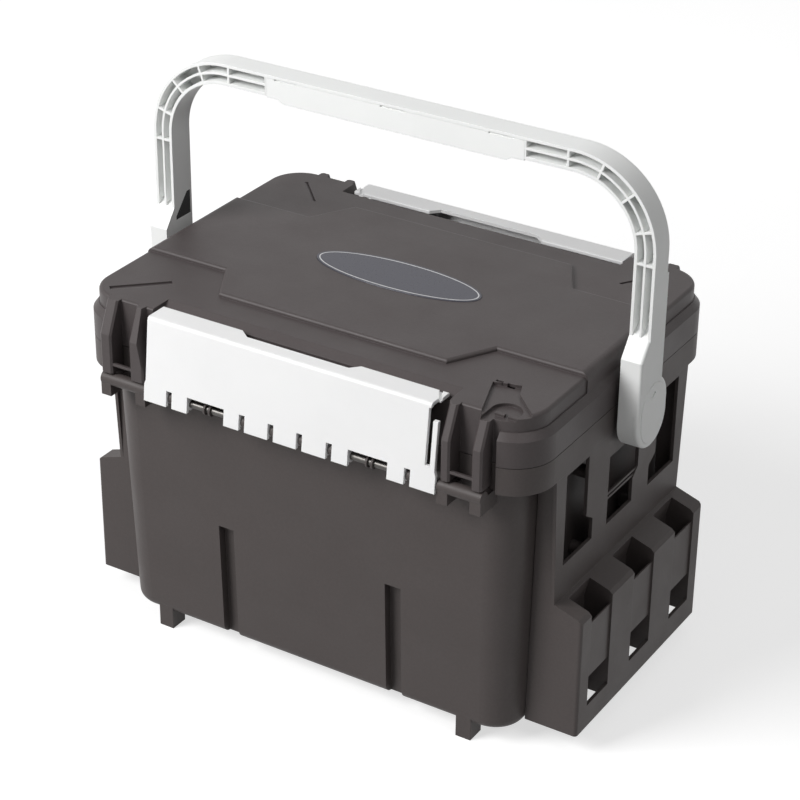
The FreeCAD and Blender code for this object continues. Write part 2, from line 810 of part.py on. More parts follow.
def panel_ends(z0, z1):
    """Block whose upper ends are rounded as the ends of the raised panel are."""
    radius = panel_end_round
    lean = radius * math.sin(math.pi / 4)
    places = []
    for side in (1, -1):
        centre_x = side * (panel_end_x - radius)
        places.append([
            Vector(side * panel_end_x, -half_depth, z1 - radius),
            Vector(centre_x + side * lean, -half_depth, z1 - radius + lean),
            Vector(centre_x, -half_depth, z1),
        ])
    right, left = places
    edges = [arc(*right), line(right[2], left[2]), arc(*left)]
    corners = [Vector(side * panel_end_x, -half_depth, z0) for side in (-1, 1)]
    edges += [line(left[0], corners[0]), line(corners[0], corners[1]), line(corners[1], right[0])]
    return Part.Face(Part.Wire(Part.__sortEdges__(edges))).extrude(Vector(0, box_depth, 0))


def panel_with_wings():
    """The raised panel, whose two wings run over the crown's sides down to the shoulder."""
    panel = raised_panel(0, lid_outer_top - 1, box_height)
    wing_y = lid_half_y - panel_wing_inset[1]
    side = box((lid_half_x - lid_wall, panel_end_x), (-wing_y, wing_y), (lip_shoulder - 1, box_height))
    panel = joined([panel, side, mirrored_x(side)])
    edges = []
    for edge in panel.Edges:
        bounds = edge.BoundBox
        if bounds.ZMin > box_height - 0.01 and max(abs(bounds.XMin), abs(bounds.XMax)) < panel_end_x + 0.01:
            if bounds.XLength > 0.01:
                edges.append(edge)
    panel = panel.makeFillet(panel_round, edges)
    return panel.common(panel_ends(lip_shoulder - 2, box_height))


def hook_rib(x_range):
    """Wedge-edged rib at the front of the lid, ending just above the axle bracket."""
    underside = axle_z + hook_clearance_z
    points = [
        (-bay_half_y + lid_wall, lid_outer_top),
        (-hook_top_y, lid_outer_top),
        (-hook_face_y, hook_bend_z),
        (-hook_face_y, underside),
        (-hook_inner_y, underside),
        (-hook_inner_y, lid_bottom),
        (-bay_half_y + lid_wall, lid_bottom),
    ]
    rib = prism_x(points, x_range)
    face_edges = []
    for edge in rib.Edges:
        bounds = edge.BoundBox
        if bounds.XLength < 0.01 and bounds.YMin < -hook_top_y + 0.5 and bounds.ZLength > 5:
            face_edges.append(edge)
    return rib.makeChamfer(hook_chamfer, face_edges)


def hook_pair(ribs):
    """The two ribs at the front right and the bar between them."""
    inner, outer = [(latch_bay_half_x + low, latch_bay_half_x + high) for low, high in ribs]
    bar = box(
        (inner[1] - 1, outer[0] + 1),
        (-hook_face_y + hook_bar_inset, -hook_face_y + hook_bar_inset + hook_bar_size),
        (hook_bar_z - hook_bar_size / 2, hook_bar_z + hook_bar_size / 2),
    )
    return [hook_rib(inner), hook_rib(outer), bar]


def slanted_side():
    """Cutter that slants the inner side of the rib beside the latch's cut corner."""
    run, rise = hook_slant
    low_x = latch_bay_half_x + hook_ribs_left[0][0] + 1
    low_z = hook_slant_bottom_z
    start_y = -half_depth - hook_face_inset
    outline = [
        (low_x, low_z),
        (low_x + run, low_z + rise),
        (low_x + run, box_height + 1),
        (latch_bay_half_x - 1, box_height + 1),
        (latch_bay_half_x - 1, low_z),
    ]
    loop = [Vector(x, start_y, z) for x, z in outline]
    face = Part.Face(Part.makePolygon(loop + [loop[0]]))
    turn_x, turn_y = hook_slant_turn
    return face.extrude(Vector(-turn_x, turn_y, 0))


def front_hooks():
    """Ribs and bars of the front, seen from the front."""
    left = [without(piece, [slanted_side()]) for piece in hook_pair(hook_ribs_left)]
    return hook_pair(hook_ribs_right) + [mirrored_x(piece) for piece in left]


def corner_grooves():
    """Grooves on the margin of the lid, deep along one side and running out on the other."""
    grooves = []
    for (side_x, side_y), first, second, width in grooves_at:
        x0, y0 = side_x * (rim_half_x - first[0]), side_y * (rim_half_y - first[1])
        x1, y1 = side_x * (rim_half_x - second[0]), side_y * (rim_half_y - second[1])
        section = [(0, 1), (0, -groove_depth), (-width, 0), (-width, 1)]
        cutter = prism_x(section, (0, math.hypot(x1 - x0, y1 - y0)))
        cutter.rotate(Vector(0, 0, 0), Vector(0, 0, 1), math.degrees(math.atan2(y1 - y0, x1 - x0)))
        cutter.translate(Vector(x0, y0, lid_outer_top))
        grooves.append(cutter)
    return grooves


def dock_point(inset_x, inset_y):
    """Point given by its distances from the front right corner of the lid."""
    return (rim_half_x - inset_x, -rim_half_y + inset_y)


def accessory_dock():
    """Stepped seat for an accessory at the front right corner, with a round well."""
    outline = [dock_point(*place) for place in dock_outline]
    seat = prism_z(outline, (lid_outer_top - dock_depth, lid_outer_top + 1))
    x, y = dock_point(*dock_well_place)
    floor_z = lid_outer_top - dock_well_depth
    well = Part.makeCylinder(dock_well_radius, dock_well_depth + 1, Vector(x, y, floor_z))
    mouth = box((x - dock_well_radius, x + dock_well_radius), (-half_depth, y), (floor_z, lid_outer_top + 1))
    well = joined([well, mouth])
    length, width, height = dock_rib_size
    rib_y = -rim_half_y + dock_well_place[1] - width
    ribs = []
    for place in dock_rib_places:
        rib_x = (rim_half_x - place - length / 2, rim_half_x - place + length / 2)
        ribs.append(box(rib_x, (rib_y - width, rib_y), (floor_z - 1, floor_z + height)))
    slots = []
    for place in dock_slot_places:
        start_x, start_y = dock_point(place, dock_slot_inset)
        slots.append(box((start_x, start_x + dock_slot_length), (start_y, start_y + dock_slot_width),
                         (lid_outer_top - lid_wall - 1, lid_outer_top + 1)))
    return [seat, without(well, ribs)] + slots


def dock_block():
    """Solid under the well, which keeps the lid closed there."""
    far_x, near_x = [rim_half_x - inset for inset in dock_block_x]
    near_y, far_y = [-rim_half_y + inset for inset in dock_block_y]
    floor_z = lid_outer_top - dock_well_depth - lid_wall
    return box((far_x, near_x), (near_y, far_y), (floor_z, box_height))


def badge_seat(gap):
    """Oval space of the badge plate in the raised panel."""
    top = box_height + badge_proud
    centre = Vector(badge_x, badge_y, top - badge_thickness - gap)
    oval = Part.Ellipse(centre, badge_length / 2 + gap, badge_width / 2 + gap)
    face = Part.Face(Part.Wire([oval.toShape()]))
    return face.extrude(Vector(0, 0, badge_thickness + 2 * gap))


def seal_shelf_ring():
    """Shelf round the inside of the lid's lip that the seal is set against."""
    ring = rim_outline(lid_wall / 2, shelf_bottom, shelf_bottom + seal_shelf)
    inset = 2 * seal_width
    hole = rounded_prism(seal_half_x - inset, seal_half_y - inset, seal_corner_radius - inset,
                         shelf_bottom - 1, shelf_bottom + seal_shelf + 1)
    return without(ring, [hole])


def lid_lattice():
    """Crossed ribs under the top of the lid."""
    z_range = (lid_inner_top - lid_rib_depth, box_height)
    ribs = []
    for step in (-2, -1, 0, 1, 2):
        x = step * lid_rib_spacing_x
        y = step * lid_rib_spacing_y
        ribs.append(box((x - lid_rib / 2, x + lid_rib / 2), (-lid_half_y, lid_half_y), z_range))
        ribs.append(box((-lid_half_x, lid_half_x), (y - lid_rib / 2, y + lid_rib / 2), z_range))
    return ribs


def lid_inside():
    """Hollow of the lid: inside its lip, inside its crown and under the raised panel."""
    lip = rounded_prism(rim_half_x - lid_wall, rim_half_y - lid_wall, rim_corner_radius - lid_wall,
                        lid_bottom - 1, lip_top - lid_wall)
    crown_inset = lid_side_inset + lid_wall
    crown = rounded_prism(rim_half_x - crown_inset, rim_half_y - crown_inset, rim_corner_radius - crown_inset,
                          lid_bottom - 1, lid_inner_top)
    bays = latch_bay_cutters(lid_wall)
    bays += [mirrored_y(cutter) for cutter in bays]
    walls = without(joined([lip, crown]), bays + [seal_shelf_ring(), dock_block()])
    under_panel = raised_panel(2 * lid_wall, lid_inner_top - 1, box_height - lid_wall)
    under_panel = without(under_panel, [badge_seat(lid_wall)])
    return [without(space, lid_lattice()) for space in (walls, under_panel)]


def lid():
    """Lid shell with raised panel, hooks, catch ledges and ribbed underside."""
    bays = latch_bay_cutters(0)
    bays += [mirrored_y(cutter) for cutter in bays]
    outside = without(lid_outside(), bays)
    hooks = front_hooks()
    hooks += [half_turn(piece) for piece in hooks]
    outside = outside.fuse([panel_with_wings()] + hooks)
    cutters = lid_inside() + [badge_seat(seat_gap)] + corner_grooves() + accessory_dock()
    return without(outside, cutters).removeSplitter()


def lid_seal():
    """Soft ring under the shelf of the lid."""
    ring = rounded_prism(seal_half_x, seal_half_y, seal_corner_radius, seal_bottom, shelf_bottom)
    hole = rounded_prism(seal_half_x - seal_width, seal_half_y - seal_width, seal_corner_radius - seal_width,
                         seal_bottom - 1, shelf_bottom + 1)
    return without(ring, [hole])


def badge_plate():
    """Blank plate on the raised panel."""
    plate = badge_seat(0)
    edges = [edge for edge in plate.Edges if edge.BoundBox.ZMin > box_height + badge_proud - 0.01]
    return plate.makeChamfer(badge_chamfer, edges)


def latch_plate():
    """Plate of the front latch with the flange that hooks over the lid, and its knuckles."""
    points = [
        (-half_depth, latch_bottom_z),
        (-latch_crease_y, latch_top_z),
        (-latch_flange_y, latch_top_z),
        (-latch_flange_y, latch_top_z - latch_wall),
        (-latch_crease_y + latch_wall, latch_top_z - latch_wall),
        (-half_depth + latch_wall, latch_bottom_z),
    ]
    plate = prism_x(points, (-latch_lower_half_x, latch_lower_half_x))
    for y, radius in ((-latch_crease_y, latch_fold_round), (-latch_flange_y, latch_top_round)):
        edges = []
        for edge in plate.Edges:
            bounds = edge.BoundBox
            if bounds.XLength > latch_half_x and abs(bounds.YMin - y) < 0.01 and bounds.ZMax > latch_top_z - 0.01:
                edges.append(edge)
        plate = plate.makeFillet(min(radius, latch_wall - 0.1), edges)
    knuckle_half = latch_half_x - latch_foot_cut
    knuckle = rod_x((-knuckle_half, knuckle_half), -axle_y, axle_z, knuckle_radius)
    return joined([plate, knuckle])


def latch_outline_cutters():
    """Stepped ends, finger notch and the slots of the lower edge."""
    deep = (-half_depth - 1, -latch_crease_y + 2 * latch_wall)
    whole = (-half_depth - 1, -latch_flange_y + 1)
    cutters = []
    for side in (-1, 1):
        step = [
            (side * (latch_lower_half_x + 1), latch_step_z),
            (side * latch_lower_half_x, latch_step_z),
            (side * latch_half_x, latch_step_z + latch_step_height),
            (side * latch_half_x, latch_top_z + 1),
            (side * (latch_lower_half_x + 1), latch_top_z + 1),
        ]
        cutters.append(prism_y(step, whole))
        foot_cut = [
            (side * (latch_lower_half_x + 1), latch_bottom_z - 1),
            (side * (latch_lower_half_x + 1 - latch_foot_cut), latch_bottom_z - 1),
            (side * (latch_lower_half_x + 1), latch_bottom_z - 1 + latch_foot_cut),
        ]
        cutters.append(prism_y(foot_cut, deep))
        low, high = wide_notch
        cutters.append(box((side * low, side * high), deep, (latch_bottom_z - 1, latch_slot_top)))
        for place in ear_places:
            x = side * place
            half = ear_slot_width / 2
            cutters.append(box((x - half, x + half), deep, (latch_bottom_z - 1, latch_slot_top)))
    left, right = finger_notch_x
    left_slant, right_slant = finger_notch_slants
    finger = [
        (left, -latch_flange_y - finger_notch_depth),
        (right, -latch_flange_y - finger_notch_depth),
        (right + right_slant, -latch_flange_y),
        (right + right_slant, -latch_flange_y + 1),
        (left - left_slant, -latch_flange_y + 1),
        (left - left_slant, -latch_flange_y),
    ]
    cutters.append(prism_z(finger, (latch_top_z - latch_wall - 1, latch_top_z + 1)))
    return cutters


def latch_tab_cutters():
    """Slit, groove and notch that set off the narrow tab at the right-hand end."""
    low, high = [latch_half_x - inset for inset in tab_slit_inset]
    slit = box((low, high), (-half_depth - 1, -latch_crease_y + 2 * latch_wall), tab_slit_z)
    groove_x = latch_half_x - tab_groove_inset
    run_x, run_y = tab_groove_run
    groove = prism_z([
        (groove_x, -latch_flange_y),
        (groove_x + tab_groove_width, -latch_flange_y),
        (groove_x + tab_groove_width + run_x, -latch_flange_y - run_y),
        (groove_x + run_x, -latch_flange_y - run_y),
    ], (latch_top_z - tab_groove_depth, latch_top_z + 1))
    outside = latch_lower_half_x + 1
    notch_z = (tab_notch_bottom_z, latch_top_z + 1)
    notch_y = (-half_depth - 1, -latch_flange_y - tab_notch_reach)
    notch = box((latch_half_x - tab_notch_inset, outside), notch_y, notch_z)
    end = box((latch_half_x - tab_end_inset, outside), (-half_depth - 1, -latch_flange_y + 1), notch_z)
    return [slit, groove, notch, end]


def front_latch():
    """White latch of the front: folded plate with slots round the axle ears."""
    cutters = latch_outline_cutters() + latch_tab_cutters()
    cutters.append(rod_x((-half_width, half_width), -axle_y, axle_z, axle_radius + pin_gap))
    return without(latch_plate(), cutters).removeSplitter()


def corner_point(radius, angle):
    """Point on the handle's right-hand corner, in the plane of the handle."""
    turn = math.radians(angle)
    return (corner_centre_x + radius * math.cos(turn), corner_centre_z + radius * math.sin(turn))


def bow_face(offset_low, offset_high, low_z, y):
    """Half of the handle's bow between two offsets from its inner edge, right side."""
    inner = corner_radius_in + offset_low
    outer = corner_radius_in + offset_high
    inner_arc = [Vector(x, y, z) for x, z in (corner_point(inner, angle) for angle in (90, 45, 0))]
    outer_arc = [Vector(x, y, z) for x, z in (corner_point(outer, angle) for angle in (0, 45, 90))]
    start_in = Vector(0, y, corner_centre_z + inner)
    start_out = Vector(0, y, corner_centre_z + outer)
    end_in = Vector(corner_centre_x + inner, y, low_z)
    end_out = Vector(corner_centre_x + outer, y, low_z)
    edges = [
        line(start_in, inner_arc[0]),
        arc(*inner_arc),
        line(inner_arc[2], end_in),
        line(end_in, end_out),
        line(end_out, outer_arc[0]),
        arc(*outer_arc),
        line(outer_arc[2], start_out),
        line(start_out, start_in),
    ]
    return Part.Face(Part.Wire(edges))


def bow():
    """The bent bar of the handle, rounded along its outer rear edge."""
    right = bow_face(0, arm_thickness, flare_top_z - 1, -handle_half).extrude(Vector(0, handle_depth, 0))
    whole = joined([right, mirrored_x(right)])
    outer_edges = []
    for edge in whole.Edges:
        bounds = edge.BoundBox
        if bounds.YLength > 0.01 or abs(bounds.YMin - handle_half) > 0.01:
            continue
        middle = edge.valueAt((edge.FirstParameter + edge.LastParameter) / 2)
        reach = math.hypot(max(abs(middle.x) - corner_centre_x, 0), max(middle.z - corner_centre_z, 0))
        if reach > corner_radius_out - 0.5:
            outer_edges.append(edge)
    return whole.makeFillet(handle_edge_round, outer_edges)


def cheek():
    """Round lower end of the right-hand arm, seen from the side."""
    radius = cheek_radius
    half = handle_half
    shoulder = math.acos(half / radius)
    places = [
        (-half, cheek_top_z),
        (-half, flare_top_z),
        (-radius, flare_low_z),
        (-radius, pivot_z),
        (0, pivot_z - radius),
        (radius, pivot_z),
        (radius, bulge_z),
        (radius * math.cos(shoulder / 2), bulge_z + radius * math.sin(shoulder / 2)),
        (half, bulge_z + radius * math.sin(shoulder)),
        (half, cheek_top_z),
    ]
    points = [Vector(arm_inner_x, y, z) for y, z in places]
    edges = [line(points[index], points[index + 1]) for index in range(3)]
    edges += [arc(*points[3:6]), line(points[5], points[6]), arc(*points[6:9])]
    edges += [line(points[8], points[9]), line(points[9], points[0])]
    return Part.Face(Part.Wire(edges))


def round_end(radius, x_range):
    """Long round block about the pivot, as the lower end of the arm has."""
    low = rod_x(x_range, 0, pivot_z, radius)
    high = rod_x(x_range, 0, bulge_z, radius)
    return joined([low, high, box(x_range, (-radius, radius), (pivot_z, bulge_z))])


def cheek_block():
    """Solid of the round lower end with the arm above it."""
    block = cheek().extrude(Vector(arm_thickness, 0, 0))
    flat = [edge for edge in block.Edges if edge.BoundBox.XLength < 0.01]
    outer = [edge for edge in flat if abs(edge.BoundBox.XMin - arm_outer_x) < 0.01]
    block = block.makeFillet(cheek_round, [edge for edge in outer if edge.BoundBox.ZMax < flare_top_z + 0.1])
    x_range = (arm_outer_x - cheek_seam_inset, arm_outer_x - cheek_seam_inset + cheek_seam)
    band = box(x_range, (-2 * cheek_radius, 2 * cheek_radius), (pivot_z - 2 * cheek_radius, bulge_z))
    return without(block, [without(band, [round_end(cheek_radius - cheek_seam, x_range)])])


def cell_rows():
    """Open cells of the right-hand half of the bow, in two rows."""
    span = arm_thickness - 2 * handle_wall
    row = (span - handle_rib) / 2
    cells = []
    for start in (handle_wall, handle_wall + row + handle_rib):
        band = bow_face(start, start + row, cell_end_z, -handle_half - 1)
        cells.append(band.extrude(Vector(0, handle_depth - cell_floor + 1, 0)))
    ribs = []
    deep = (-handle_half - 2, handle_half)
    half_rib = handle_rib / 2
    for angle in cell_rib_angles:
        rib = box((0, corner_radius_out + 1), deep, (-half_rib, half_rib))
        rib.rotate(Vector(0, 0, 0), Vector(0, 1, 0), -angle)
        rib.translate(Vector(corner_centre_x, 0, corner_centre_z))
        ribs.append(rib)
    ribs.append(box((cell_rib_x - half_rib, cell_rib_x + half_rib), deep, (bar_bottom, bar_top)))
    low_rib_z = corner_centre_z - cell_rib_drop
    ribs.append(box((arm_inner_x, arm_outer_x), deep, (low_rib_z - half_rib, low_rib_z + half_rib)))
    ribs.append(box((-1, cell_end_x), deep, (bar_bottom - 1, bar_top + 1)))
    slope = [
        (-handle_half - 2, cell_end_z),
        (handle_half - cell_floor + 1, cell_end_z),
        (handle_half - cell_floor + 1, cell_end_z + cell_end_rise),
        (-handle_half, cell_end_z),
    ]
    ribs.append(prism_x(slope, (arm_inner_x, arm_outer_x)))
    return [without(row_cells, ribs) for row_cells in cells]


def grip_cover_form(gap):
    """Cover of the grip: front plate with tabs, and a strip under the bar."""
    half = grip_half_x + gap
    z_range = (bar_bottom - 1, bar_top - grip_slit_from_top + gap)
    front = box((-half, half), (-handle_half - 1, -handle_half + grip_cover_wall + gap), z_range)
    run_x = grip_drop_half_x + grip_drop_run
    drop = [
        (-run_x, bar_bottom + grip_cover_wall + gap),
        (-run_x, bar_bottom - gap),
        (-grip_drop_half_x, bar_bottom - grip_drop),
        (grip_drop_half_x, bar_bottom - grip_drop),
        (run_x, bar_bottom - gap),
        (run_x, bar_bottom + grip_cover_wall + gap),
    ]
    under = prism_y(drop, (-handle_half - 1, handle_half - grip_cover_wall + gap))
    return [front, under]


def grip_slits():
    """Three slits along the upper front edge of the grip."""
    top = bar_top - grip_slit_from_top
    y_range = (-handle_half - 1, -handle_half + grip_cover_wall / 2)
    z_range = (top - grip_slit_height, top + grip_slit_height / 2)
    half = grip_slit_length / 2
    return [box((centre - half, centre + half), y_range, z_range) for centre in grip_slit_x]


def handle_space():
    """Room for pin, flange and head in the right-hand cheek, and for the cap."""
    bore = rod_x((arm_inner_x - 1, arm_outer_x), 0, pivot_z, journal_radius + pin_gap)
    head = rod_x((journal_end_x - slip_gap, arm_outer_x), 0, pivot_z, pin_head_radius + slip_gap)
    cap = round_end(cheek_radius - cap_inset + seat_gap, (arm_outer_x - cap_depth, arm_outer_x + 1))
    return [bore, head, cap]


def pivot_cap():
    """Right-hand cap with its small slot."""
    cap = round_end(cheek_radius - cap_inset, (arm_outer_x - cap_depth + seat_gap, arm_outer_x + cap_proud))
    outline = [edge for edge in cap.Edges if edge.BoundBox.XMin > arm_outer_x + cap_proud - 0.01]
    cap = cap.makeChamfer(cap_chamfer, outline)
    length, height = cap_slot_size
    slot_bottom_x = arm_outer_x - cap_depth / 2
    slot = box((slot_bottom_x, half_width), (-length / 2, length / 2), (-height / 2, height / 2))
    slot.rotate(Vector(0, 0, 0), Vector(1, 0, 0), cap_slot_tilt)
    slot.translate(Vector(0, *cap_slot_place))
    return without(cap, [slot])


def insert_form(gap):
    """Dark stop plate let into the inner face of the right-hand arm."""
    half = handle_half - insert_inset + gap
    low = insert_bottom_z - gap
    high = insert_bottom_z + insert_height + gap
    outline = [
        (-half, low),
        (-half, insert_bottom_z + insert_front_height),
        (insert_slope_end_y, high),
        (half, high),
        (half, low),
    ]
    return prism_x(outline, (arm_inner_x - gap, arm_inner_x + insert_thickness + gap))


def arm_insert():
    """The stop plate itself."""
    return insert_form(0)


def handle_bow():
    """One-piece handle with open cells, cheeks and the seat of the grip cover."""
    right_end = cheek_block()
    cutters = grip_cover_form(seat_gap) + grip_slits()
    for form in cell_rows() + handle_space() + [insert_form(seat_gap)]:
        cutters += [form, mirrored_x(form)]
    body = bow().fuse([right_end, mirrored_x(right_end)])
    return without(body, cutters).removeSplitter()


def grip_cover():
    """Cover that closes the grip in front and below."""
    body = joined(grip_cover_form(0))
    body = body.common(box((-half_width, half_width), (-handle_half, handle_half), (0, bar_top)))
    return without(body, grip_slits())


def pivot_pin():
    """Right-hand pin: shank in the tub, flange, journal and head in the handle."""
    flange_x = (rim_half_x + slip_gap, arm_inner_x - slip_gap)
    parts = [
        rod_x((rim_half_x - pin_depth, flange_x[0]), 0, pivot_z, pin_radius),
        rod_x(flange_x, 0, pivot_z, pin_flange_radius),
        rod_x((flange_x[1], journal_end_x), 0, pivot_z, journal_radius),
        rod_x((journal_end_x, journal_end_x + pin_head), 0, pivot_z, pin_head_radius),
    ]
    return joined(parts)


def divider_places():
    """Places of the tray's dividers along Y."""
    step = 2 * (tray_body_half_y - tray_wall) / tray_compartments
    return [step * (index - (tray_compartments - 2) / 2) for index in range(tray_compartments - 1)]


def divider_guides():
    """Pairs of strips on the tray's end walls that hold the dividers."""
    wall_x = tray_length / 2 - tray_wall
    near = divider_thickness / 2 + seat_gap
    z_range = (tray_bottom + tray_wall, tray_top - divider_drop)
    guides = []
    for y in divider_places():
        for y_range in ((y + near, y + near + guide_thickness), (y - near, y - near - guide_thickness)):
            right = box((wall_x, wall_x - guide_depth), y_range, z_range)
            guides += [right, mirrored_x(right)]
    return guides


def tray():
    """Lift-out tray whose lips rest on the ledges, at the left end of its travel."""
    corner = tub_corner_radius - tub_wall
    half = tray_length / 2
    lip_half_y = tray_body_half_y + ledge_width
    outside = rounded_prism(half, tray_body_half_y, corner, tray_bottom, tray_top)
    lips = rounded_prism(half, lip_half_y, corner, tray_top - tray_lip_thickness, tray_top)
    inside = rounded_prism(half - tray_wall, tray_body_half_y - tray_wall, corner - tray_wall,
                           tray_bottom + tray_wall, tray_top + 1)
    body = without(joined([outside, lips]), [inside])
    body = body.fuse(divider_guides())
    body.translate(Vector(tray_centre_x, 0, 0))
    return body.removeSplitter()


def tray_dividers():
    """Loose dividers that stand between the guides of the tray."""
    half = tray_length / 2 - tray_wall - seat_gap
    x_range = (tray_centre_x - half, tray_centre_x + half)
    z_range = (tray_bottom + tray_wall, tray_top - divider_drop)
    dividers = []
    for y in divider_places():
        dividers.append(box(x_range, (y - divider_thickness / 2, y + divider_thickness / 2), z_range))
    return Part.makeCompound(dividers)


# Write every piece
def pieces():
    """Every piece by name, where it lies with the box closed and the handle up."""
    right_frame = side_frame()
    right_screws = frame_screws()
    latch = front_latch()
    front_axle = axle()
    cap = pivot_cap()
    insert = arm_insert()
    pin = pivot_pin()
    return {
        "tub": tub(),
        "side_frame_right": right_frame,
        "side_frame_left": mirrored_x(right_frame),
        "frame_screws_right": right_screws,
        "frame_screws_left": mirrored_x(right_screws),
        "front_axle": front_axle,
        "rear_axle": half_turn(front_axle),
        "lid": lid(),
        "lid_seal": lid_seal(),
        "badge_plate": badge_plate(),
        "front_latch": latch,
        "rear_latch": half_turn(latch),
        "handle_bow": handle_bow(),
        "grip_cover": grip_cover(),
        "pivot_cap_right": cap,
        "pivot_cap_left": mirrored_x(cap),
        "arm_insert_right": insert,
        "arm_insert_left": mirrored_x(insert),
        "pivot_pin_right": pin,
        "pivot_pin_left": mirrored_x(pin),
        "tray": tray(),
        "tray_dividers": tray_dividers(),
    }


os.makedirs("parts", exist_ok=True)
for name, shape in pieces().items():
    shape.exportStep("parts/" + name + ".step")
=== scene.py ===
import json
import math

import bpy
from mathutils import Matrix, Vector


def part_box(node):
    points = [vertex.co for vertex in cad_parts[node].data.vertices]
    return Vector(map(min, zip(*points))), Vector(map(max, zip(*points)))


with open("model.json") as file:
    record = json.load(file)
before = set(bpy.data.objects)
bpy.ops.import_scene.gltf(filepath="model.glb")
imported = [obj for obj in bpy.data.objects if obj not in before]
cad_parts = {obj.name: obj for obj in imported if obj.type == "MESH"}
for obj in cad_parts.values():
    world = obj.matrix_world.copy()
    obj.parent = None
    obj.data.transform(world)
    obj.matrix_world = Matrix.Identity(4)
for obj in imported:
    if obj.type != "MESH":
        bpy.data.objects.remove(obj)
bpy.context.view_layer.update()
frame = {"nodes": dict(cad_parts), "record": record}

# Fishing seat box, in metres, in the frame of the CAD model. The camera stands where the
# photograph was taken, and every CAD node keeps its shape and gets its material here.

# Camera, fitted to the photograph: angles in degrees, lens and sensor in millimetres
camera_azimuth = 31.522
camera_elevation = 28.758
camera_roll = 0.658
camera_distance = 2.01399
camera_target = Vector((0.00305, 0.0, 0.20711))
camera_lens = 107.94
sensor_width = 36.0
camera_reach = 30.0

# Square lamps: place, side and power in watts, all aimed at one point inside the box
key_light = ((-1.4, -2.1, 2.1), 1.5, 97.0)
top_light = ((0.2, 0.4, 3.0), 2.2, 6.0)
fill_light = ((2.0, -0.9, 2.6), 1.2, 13.0)
lamp_target = Vector((0.0, 0.0, 0.2))

# World: its light on the object, and the white that the camera and mirrors see
white = (1.0, 1.0, 1.0, 1.0)
sky_strength = 0.12
backdrop_strength = 1.0

# Floor: paint as seen, paint that lights the object, and plain white added to the paint as seen
floor_size = 12.0
floor_seen = 0.52
floor_bounce = 0.42
floor_glow = (0.64, 0.76)    # near the object and far from it
floor_glow_reach = (0.5, 1.3)
floor_tint = 0.98            # share of the paint in its darker patches

# Pale oval line on the badge plate: its outer and inner distance from the plate's edge
badge_line = (0.0022, 0.0032)
badge_line_blur = 0.004      # share of the oval's size
flatten = 1000.0             # scale that takes height out of a distance

# Edges of moulded pieces catch the light as if rounded by this much
edge_softness = 0.0006
edge_samples = 6

# A moulding is smoother than its mean roughness by the first and rougher by the second
moulding_roughness_spread = (0.04, 0.05)

# Dark specks in the moulded plastic: their share of the surface and their shade of its colour
speck_share = 0.22
speck_shade = 0.6

# Heights of the textures' bumps
moulded_grain = 0.00004
moulded_waves = 1.5          # times the grain
white_grain = 0.00002
white_waves = 0.00006
steel_marks = 0.00002
rubber_grain = 0.00004
badge_waves = 0.00002

# How far light goes into the pale plastic, for red, green and blue
white_depth = (0.002, 0.002, 0.0018)

# Marks on steel are this much longer along X than across it, and differ by this much in shade and gloss
steel_stretch = (0.02, 1.0, 1.0)
steel_shade = 0.7
steel_gloss_spread = 0.08


def place_camera():
    """Camera at the photograph's viewing angle."""
    azimuth = math.radians(camera_azimuth)
    elevation = math.radians(camera_elevation)
    roll = math.radians(camera_roll)
    back = Vector((math.sin(azimuth) * math.cos(elevation),
                   -math.cos(azimuth) * math.cos(elevation),
                   math.sin(elevation)))
    right = Vector((math.cos(azimuth), math.sin(azimuth), 0.0))
    up = back.cross(right)
    rolled_right = right * math.cos(roll) + up * math.sin(roll)
    rolled_up = up * math.cos(roll) - right * math.sin(roll)
    turn = Matrix((rolled_right, rolled_up, back)).transposed().to_4x4()
    data = bpy.data.cameras.new("camera")
    data.lens = camera_lens
    data.sensor_width = sensor_width
    data.clip_end = camera_reach
    camera = bpy.data.objects.new("camera", data)
    camera.matrix_world = Matrix.Translation(camera_target + back * camera_distance) @ turn
    bpy.context.scene.collection.objects.link(camera)
    bpy.context.scene.camera = camera


def area_light(name, place, size, power):
    """Square soft light that faces the box."""
    data = bpy.data.lights.new(name, "AREA")
    data.shape = "SQUARE"
    data.size = size
    data.energy = power
    light = bpy.data.objects.new(name, data)
    light.location = place
    aim = lamp_target - Vector(place)
    light.rotation_euler = aim.to_track_quat("-Z", "Y").to_euler()
    bpy.context.scene.collection.objects.link(light)


def background_rays(nodes, links):
    """One for rays from the camera, in a mirror or through glass, and zero for the light on the object."""
    path = nodes.new("ShaderNodeLightPath")
    value = path.outputs["Is Camera Ray"]
    for ray in ("Is Glossy Ray", "Is Transmission Ray"):
        either = nodes.new("ShaderNodeMath")
        either.operation = "MAXIMUM"
        links.new(value, either.inputs[0])
        links.new(path.outputs[ray], either.inputs[1])
        value = either.outputs["Value"]
    return value


def light_world():
    """Weak even light from all round, in front of a white backdrop."""
    world = bpy.data.worlds.new("studio")
    world.use_nodes = True
    nodes = world.node_tree.nodes
    links = world.node_tree.links
    nodes.clear()
    out = nodes.new("ShaderNodeOutputWorld")
    mix = nodes.new("ShaderNodeMixShader")
    links.new(background_rays(nodes, links), mix.inputs["Fac"])
    for socket, strength in ((mix.inputs[1], sky_strength), (mix.inputs[2], backdrop_strength)):
        light = nodes.new("ShaderNodeBackground")
        light.inputs["Color"].default_value = white
        light.inputs["Strength"].default_value = strength
        links.new(light.outputs["Background"], socket)
    links.new(mix.outputs["Shader"], out.inputs["Surface"])
    bpy.context.scene.world = world


def light_scene():
    """Soft studio light: a key at the front left, a panel above and a weak fill."""
    area_light("key_light", *key_light)
    area_light("top_light", *top_light)
    area_light("fill_light", *fill_light)
    light_world()


